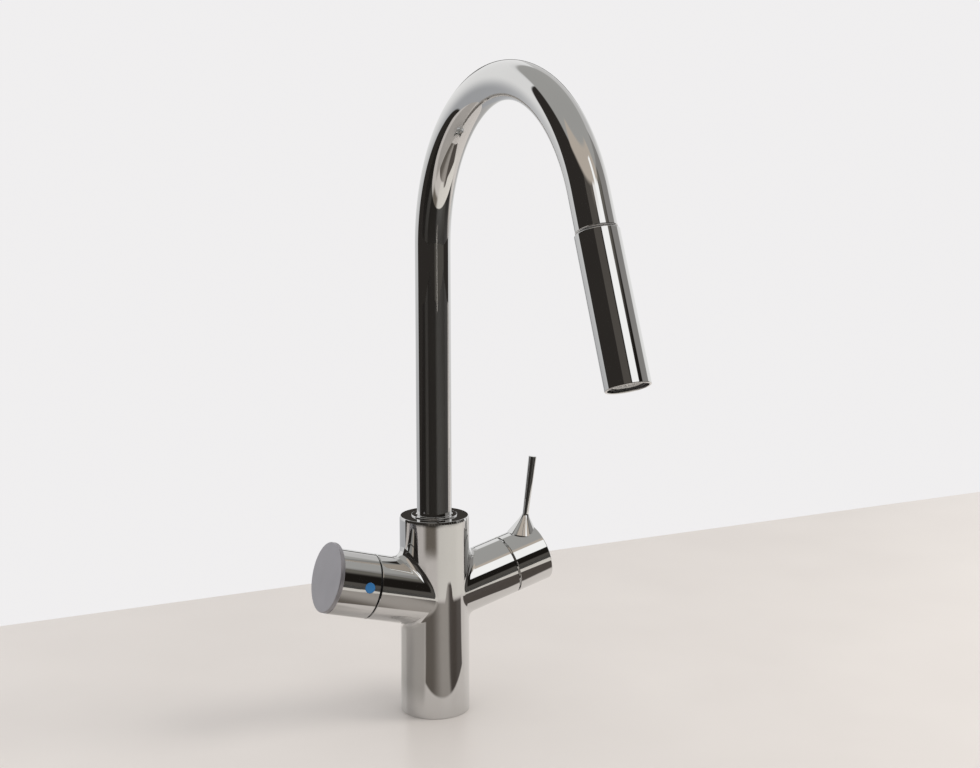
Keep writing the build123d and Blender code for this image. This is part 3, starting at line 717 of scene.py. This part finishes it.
nut_corner = nut_half_flats / math.cos(math.pi / 6)
hexagon = turned(upright_line, [(nut_low, nut_corner), (nut_top, nut_corner)], around=6)
only(hexagon)
bpy.ops.object.mode_set(mode="EDIT")
bpy.ops.mesh.select_all(action="SELECT")
bpy.ops.transform.rotate(value=math.radians(30), orient_axis="Z", center_override=(0, 0, 0))
bpy.ops.object.mode_set(mode="OBJECT")
corner_cone = turned(
    upright_line,
    [
        (nut_low - beyond_cut, nut_half_flats - 0.0004),
        (nut_low + nut_corner_cut, nut_corner_radius),
        (nut_top - nut_corner_cut, nut_corner_radius),
        (nut_top + beyond_cut, nut_half_flats - 0.0004),
    ],
    around=128,
)
hexagon = combined(hexagon, corner_cone, "INTERSECT")
nut_bore = turned(
    upright_line,
    [
        (nut_low - beyond_cut, nut_hole + 0.0014),
        (nut_low + nut_hole_cut, nut_hole),
        (nut_top - nut_hole_cut, nut_hole),
        (nut_top + beyond_cut, nut_hole + 0.0014),
    ],
    around=128,
)
hexagon = combined(hexagon, nut_bore, "DIFFERENCE")
hexagon = smooth(hexagon, fine_sharp_angle)
finished(hexagon, "clamp_nut", "plain_brass", "tap_body", "back_nut")

# ---- Spout: one bent tube with a wall, and the cover ring it turns in ----

bpy.ops.object.select_all(action="DESELECT")
bpy.ops.mesh.primitive_circle_add(
    vertices=128, radius=tube_radius, location=(0, 0, tube_foot)
)
spout_tube = bpy.context.object
bpy.ops.object.transform_apply(location=True, rotation=True, scale=True)
bpy.ops.object.mode_set(mode="EDIT")
bpy.ops.mesh.select_mode(type="EDGE")
bpy.ops.mesh.select_all(action="SELECT")
bpy.ops.mesh.extrude_edges_move(
    TRANSFORM_OT_translate={"value": (0, 0, arch_start_height - tube_foot)}
)
bpy.ops.mesh.spin(steps=120, angle=-arch_sweep, center=arch_centre, axis=(1, 0, 0))
tail_rim, tail_narrowing = 0.0003, 0.98
for travel in (arch_tail - tail_rim, tail_rim):
    bpy.ops.mesh.extrude_edges_move(
        TRANSFORM_OT_translate={"value": outlet_direction * travel}
    )
bpy.ops.transform.resize(value=(tail_narrowing,) * 3, center_override=tail_end)
bpy.ops.mesh.select_all(action="SELECT")
bpy.ops.mesh.remove_doubles(threshold=0.000001)
bpy.ops.mesh.normals_make_consistent(inside=False)
bpy.ops.object.mode_set(mode="OBJECT")
wall = spout_tube.modifiers.new("wall", "SOLIDIFY")
wall.thickness = tube_wall
wall.offset = -1
bpy.ops.object.modifier_apply(modifier=wall.name)
spout_tube = smooth(spout_tube, fine_sharp_angle)
finished(spout_tube, "spout_tube", "polished_chrome", "neck", "neck_tube")

ring_low, ring_high, ring_inner, ring_outer = 0.1434, 0.1458, 0.0128, 0.01645
cover_ring = turned(
    upright_line,
    [
        (ring_low, ring_inner),
        (ring_low, ring_outer),
        *round_rim(ring_high, ring_outer, 0.0004, "closes"),
        (ring_high, ring_inner + 0.0004),
        (ring_high - 0.0004, ring_inner),
        (ring_low, ring_inner),
    ],
)
finished(smooth(cover_ring), "cover_ring", "polished_chrome", "tap_body", "neck_cover_ring")

# ---- Dock and wand ----

dock_top, nose_end = arch_tail - dock_insert, arch_tail + dock_nose
dock_sleeve = turned(
    outlet_line,
    [
        (dock_top, dock_mouth_radius),
        (dock_top, dock_insert_radius),
        (arch_tail, dock_insert_radius),
        (arch_tail, dock_radius),
        (arch_tail + dock_flange, dock_radius),
        (arch_tail + dock_flange, dock_nose_radius),
        *round_rim(nose_end, dock_nose_radius, dock_nose_round, "closes"),
        (nose_end, dock_bore),
        (dock_top + dock_mouth_depth, dock_bore),
        (dock_top, dock_mouth_radius),
    ],
    around=128,
)
finished(smooth(dock_sleeve), "dock_sleeve", "dark_plastic", "neck", "dock_bush")
ring_low, ring_high, ring_outer = arch_tail + 0.00002, arch_tail + dock_flange, 0.01265
dock_ring = turned(
    outlet_line,
    [
        (ring_low, dock_radius),
        *round_rim(ring_low, ring_outer, 0.0006, "opens", 5),
        *round_rim(ring_high, ring_outer, 0.0006, "closes", 5),
        (ring_high, dock_radius),
        (ring_low, dock_radius),
    ],
    around=128,
)
finished(smooth(dock_ring), "dock_ring", "stainless_steel", "neck", "dock_bush")

wand_start = arch_tail + dock_flange + wand_gap
wand_end = wand_start + wand_length
mouth_cut = 0.00025
wand_sleeve = turned(
    outlet_line,
    [
        (wand_start, wand_bore),
        *round_rim(wand_start, wand_radius, 0.0005, "opens"),
        *round_rim(wand_end, wand_radius, 0.0006, "closes"),
        (wand_end, wand_bore + mouth_cut),
        (wand_end - mouth_cut, wand_bore),
        (wand_start, wand_bore),
    ],
)
finished(smooth(wand_sleeve), "wand_sleeve", "polished_chrome", "wand", "wand_shell")

# ---- Mixer handle: a barrel, the boss that flares out of it, and the pin lever ----

barrel = turned(
    mixer_line,
    [
        (handle_start + handle_recess, handle_hub),
        (handle_start, handle_hub),
        (handle_start, handle_shoulder),
        (handle_start + seam, handle_shoulder),
        (handle_start + seam, mixer_arm_radius - edge_break),
        (handle_start + seam + edge_break, mixer_arm_radius),
        *round_rim(handle_end, mixer_arm_radius, 0.0008, "closes"),
    ],
)
# the boss's outline is one smooth curve through four pulled points
pulled_heights = (-0.0042, 0.002625, 0.008, lever_neck)
pulled_radii = (0.0115, 0.007, 0.00305, 0.00245)
boss_root, boss_steps = -0.006, 24
boss_rings = [(boss_root, pulled_radii[0]), (pulled_heights[0], pulled_radii[0])]
for step in range(1, boss_steps + 1):
    share = step / boss_steps
    rest = 1 - share
    weights = (rest**3, 3 * rest**2 * share, 3 * rest * share**2, share**3)
    boss_rings.append(
        (
            sum(weight * height for weight, height in zip(weights, pulled_heights)),
            sum(weight * radius for weight, radius in zip(weights, pulled_radii)),
        )
    )
boss = turned(lever_line, boss_rings, around=96)
boss_end = handle_end - 0.00005  # just short of the handle's end, so that no faces coincide
only(boss)
bpy.ops.object.mode_set(mode="EDIT")
bpy.ops.mesh.select_all(action="SELECT")
bpy.ops.mesh.bisect(
    plane_co=arm_centre + mixer_direction * boss_end,
    plane_no=mixer_direction,
    use_fill=True,
    clear_outer=True,
    threshold=0.0000001,
)
bpy.ops.object.mode_set(mode="OBJECT")
handle_body = combined(barrel, boss, "UNION")
handle_screw_line = across(mixer_line, handle_screw_station, -mixer_up)
screw_hole = turned(
    handle_screw_line, [(0.012, screw_hole_radius), (0.024, screw_hole_radius)], around=48
)
handle_body = combined(handle_body, screw_hole, "DIFFERENCE")
finished(smooth(handle_body), "handle_body", "polished_chrome", "mixer_handle", "handle_barrel")

lever = turned(
    lever_line,
    [
        (lever_root, lever_root_radius),
        (lever_neck, lever_root_radius),
        *round_rim(lever_tip, lever_tip_radius, 0.0003, "closes", 4),
    ],
    around=64,
)
finished(smooth(lever), "lever", "polished_chrome", "mixer_handle", "lever_pin")

# ---- Filter knob: a ring-shaped knob, and its finger plate ----

knob_body = turned(
    filter_line,
    [
        (knob_start, knob_bore),
        (knob_start, knob_shoulder),
        (knob_start + seam, knob_shoulder),
        (knob_start + seam, filter_arm_radius - edge_break),
        (knob_start + seam + edge_break, filter_arm_radius),
        (knob_end, filter_arm_radius),
        (knob_end, knob_bore),
        (knob_start, knob_bore),
    ],
)
mark_direction = filter_up * math.cos(mark_angle) + Vector((0, -1, 0)) * math.sin(mark_angle)
mark_line = across(filter_line, mark_station, mark_direction)
mark_recess = turned(mark_line, [(0.0220, mark_radius), (0.0245, mark_radius)], around=64)
knob_body = combined(knob_body, mark_recess, "DIFFERENCE")
knob_screw_line = across(filter_line, knob_screw_station, -filter_up)
screw_hole = turned(
    knob_screw_line, [(0.018, screw_hole_radius), (0.026, screw_hole_radius)], around=48
)
knob_body = combined(knob_body, screw_hole, "DIFFERENCE")
finished(smooth(knob_body), "knob_body", "polished_chrome", "filter_handle", "filter_knob")

finger_plate = turned(
    plate_line,
    [
        *round_rim(knob_end, plate_radius, 0.0006, "opens", 4),
        *round_rim(knob_end + plate_thickness, plate_radius, 0.0005, "closes", 4),
    ],
    around=192,
)
spigot = turned(
    filter_line,
    [(knob_end - spigot_length, spigot_radius), (knob_end, spigot_radius)],
    around=96,
)
finger_plate = smooth(joined(finger_plate, spigot))
finished(finger_plate, "finger_plate", "satin_chrome", "filter_handle", "knob_end_plate")

# ---- Small parts whose solids already have their shape, as smoothly shaded copies ----

for node_name, name, body in (
    ("knob_mark", "blue_mark", "filter_handle"),
    ("handle_plug", "handle_screw_plug", "mixer_handle"),
    ("knob_plug", "knob_screw_plug", "filter_handle"),
    ("aerator_housing", "aerator_shell", "wand"),
    ("aerator_insert", "aerator_jets", "wand"),
    ("aerator_seal", "aerator_ring", "wand"),
    ("wand_core", "wand_lining", "wand"),
    ("wand_socket", "wand_collar", "wand"),
    ("hose_connector", "hose_joint", "wand"),
    ("hose_ferrule", "hose_collar", "wand"),
    ("inlet_block", "water_inlets", "tap_body"),
):
    smooth_copy(node_name, name, body)

# ---- Dark rings deep in the seams, between each arm and what turns on it: painted shade, the pale glide rings given the dark finish ----

seam_shade_width = 0.0005
# painted shade: the glide rings are pale plastic, and are given the dark plastic finish here,
# as well as being set below the surface, so that each seam reads as shadow
for line, low, inner, outer, name, node_name in (
    (mixer_line, 0.0595, 0.0186, 0.0196, "mixer_seam_ring", "mixer_glide_ring"),
    (filter_line, 0.0535, 0.0203, 0.0212, "filter_seam_ring", "filter_glide_ring"),
):
    high = low + seam_shade_width
    seam_shade_ring = turned(
        line, [(low, inner), (low, outer), (high, outer), (high, inner), (low, inner)]
    )
    finished(smooth(seam_shade_ring), name, "dark_plastic", "tap_body", node_name)

# ---- Floor ----

floor_width, floor_depth, floor_back = 6, 3.345, 0.345
bpy.ops.object.select_all(action="DESELECT")
bpy.ops.mesh.primitive_plane_add(size=1, location=(0, 0, 0))
floor = bpy.context.object
floor.name = "floor"
floor.scale = (floor_width, floor_depth, 1)
floor.location = (0, floor_back - floor_depth / 2, 0)
bpy.ops.object.transform_apply(location=True, rotation=True, scale=True)

material, board, place = new_finish("pale_floor")
speck = board.noise(place, 0.002, 3.0, 0.7)
cloud = board.noise(place, 0.12, 2.0)
stone = board.blend(cloud, tone(0.72, 0.67, 0.628), tone(0.785, 0.735, 0.69))

# painted reflections: what polished metal mirrors in the floor is painted into colours that
# only the metal sees, by degrees round the tap and metres from it, standing in for light,
# shadow and a sink that are not in the scene
mirrored = board.node("LightPath", output="Is Glossy Ray")
east, north = board.split(place)[:2]
turn = board.bearing(east, north)
reach = board.node("VectorMath", {"operation": "LENGTH"}, {0: place}, 1)

# painted light: a lighter strip that only polished metal sees in the floor
painted_bright_strip = board.between(turn, 12, 110, 6) * board.between(reach, 0.32, 0.63, 0.006)
# painted shadow of the tap on the floor to its left front, seen only in polished metal
shaded = board.between(turn, -140, -28, 6) * board.between(reach, 0.06, 0.42, 0.03)
# painted reflection of a dark sink in front of the tap, seen only in polished metal
painted_sink_patch = board.between(turn, -29, 10, 9) * board.spread(reach, 0.44, 0.50)
card = board.blend(painted_bright_strip, stone, tone(0.84, 0.80, 0.735))
card = board.blend(shaded, card, tone(0.50, 0.465, 0.43))
card = board.blend(painted_sink_patch, card, tone(0.19, 0.165, 0.135))

# painted reflection: a darker band round the tap's foot that only polished metal sees, darkest
# at its left and right ends
bow = (turn - 25) * (1 / 55)
near_side = 0.068 + 0.035 * bow * bow
far_side = 0.31 + 0.06 * board.between(turn, 40, 60, 6)
painted_near_band = board.between(turn, -27, 96, 3) * board.spread(reach - near_side, -0.004, 0.004)
painted_near_band = painted_near_band * board.spread(reach - far_side, -0.008, 0.008, 1.0, 0.0)
left_tone, middle_tone = tone(0.15, 0.13, 0.11), tone(0.40, 0.365, 0.33)
near_band_tone = board.blend(board.spread(turn, -8, 26), left_tone, middle_tone)
near_band_tone = board.blend(board.spread(turn, 42, 53), near_band_tone, tone(0.085, 0.07, 0.06))
card = board.blend(painted_near_band, card, near_band_tone)

# painted reflection: far from the tap the floor reads dark to polished metal, a little paler in
# two ranges of bearing
painted_far_dark = board.spread(reach, 0.58, 0.605) * board.between(turn, -100, 110, 8)
paler = board.between(turn, 20, 78, 8) + board.between(turn, -52, -32, 5)
far_tone = board.blend(paler, tone(0.016, 0.014, 0.012), tone(0.07, 0.066, 0.06))
card = board.blend(painted_far_dark, card, far_tone)
surface = board.node(
    "BsdfPrincipled",
    None,
    {
        "Base Color": board.blend(mirrored, stone, card),
        "Roughness": 0.28 + 0.1 * speck,
        "Specular IOR Level": 0.4,
    },
)
board.node("OutputMaterial", None, {"Surface": surface})
floor.data.materials.append(material)

# ---- World: pale backdrop, soft dome, and the studio that polished metal mirrors ----

world = bpy.data.worlds.new("studio")
bpy.context.scene.world = world
board = Board(world)
heading = board.node("TexCoord", output="Generated")
east, north, up = board.split(heading)
bearing = board.bearing(east, north)
height = board.maths("ARCSINE", up) * (180 / math.pi)


def card_on(room, left, right, low, high, shade, soft=1.5):
    """Hangs one card in the studio, between two bearings and two heights in degrees."""
    place = board.between(bearing, left, right, soft) * board.between(height, low, high, soft)
    return board.blend(place, room, shade)


left_side = board.blend(
    board.spread(height, -22, 14) * board.spread(height, 36, 46, 1.0, 0.75),
    tone(0.45, 0.455, 0.47),
    tone(0.95, 0.945, 0.94),
)
right_side = board.blend(
    board.spread(height, -22, 2) * board.spread(height, 8, 30, 1.0, 0.35),
    tone(0.5, 0.49, 0.48),
    tone(0.95, 0.945, 0.94),
)

# the room from its dark ground up: each card's bearings, heights, tone and softness of edge
room = board.blend(
    board.spread(height, -40, -10), tone(0.028, 0.025, 0.022), tone(0.034, 0.03, 0.027)
)
room = card_on(room, -25, 12, 15, 60, tone(0.10, 0.09, 0.08))
room = card_on(room, 40, 82, 9, 30, tone(0.014, 0.012, 0.01))
room = card_on(room, 14, 76, -14, 8, tone(0.095, 0.088, 0.078))
room = card_on(room, 80, 119, 8, 45, tone(0.30, 0.29, 0.28), 2)
room = card_on(room, 58, 81, 33, 45, tone(0.17, 0.16, 0.14), 3)
room = card_on(room, 19, 58, 28, 45, tone(1.25, 1.25, 1.25), 1)
room = board.blend(board.spread(bearing, 117, 123), room, right_side)
room = board.blend(board.spread(bearing, -111, -109, 1.0, 0.0), room, left_side)
room = board.blend(board.spread(height, 41, 45), room, tone(0.44, 0.435, 0.42))
room = card_on(room, -60, 70, 41, 64, tone(0.6, 0.53, 0.46), 3)
room = card_on(room, 36, 50, 28, 56, tone(1.25, 1.25, 1.24), 1)
behind = board.spread(board.maths("ABSOLUTE", bearing), 160, 168)
behind = behind * board.between(height, 10, 17.5, 0.7)
room = board.blend(behind, room, tone(0.05, 0.045, 0.04))

from_camera = board.node("LightPath", output="Is Camera Ray")
from_metal = board.node("LightPath", output="Is Glossy Ray")
dome, backdrop = tone(0.82, 0.82, 0.83), tone(0.87, 0.86, 0.865)
seen = board.blend(from_metal, dome, room)
seen = board.blend(from_camera, seen, backdrop)
background = board.node("Background", None, {"Color": seen, "Strength": 1.0})
board.node("OutputWorld", None, {"Surface": background})

# ---- Lamp ----

lamp_data = bpy.data.lights.new("soft_key", "AREA")
lamp_data.shape = "DISK"
lamp_data.size = 0.7
lamp_data.energy = 9
lamp_data.color = (1.0, 0.985, 0.96)
lamp = bpy.data.objects.new("soft_key", lamp_data)
bpy.context.scene.collection.objects.link(lamp)
lamp.location = (1.1, -0.5, 1.3)
lamp_aim = Vector((0, 0, 0.1)) - lamp.location
lamp.rotation_euler = lamp_aim.to_track_quat("-Z", "Y").to_euler()
lamp.visible_glossy = False

# ---- Camera ----

camera_data = bpy.data.cameras.new("camera")
camera_data.lens = 55.94
camera_data.sensor_width = 36
camera_data.sensor_fit = "HORIZONTAL"
camera_data.clip_start = 0.01
camera = bpy.data.objects.new("camera", camera_data)
bpy.context.scene.collection.objects.link(camera)
camera.location = (-0.4546, -0.9686, 0.4051)
camera.rotation_euler = (math.radians(90 - camera_pitch), 0, -math.atan2(look.x, look.y))
bpy.context.scene.camera = camera
bpy.context.scene.view_settings.view_transform = "Standard"
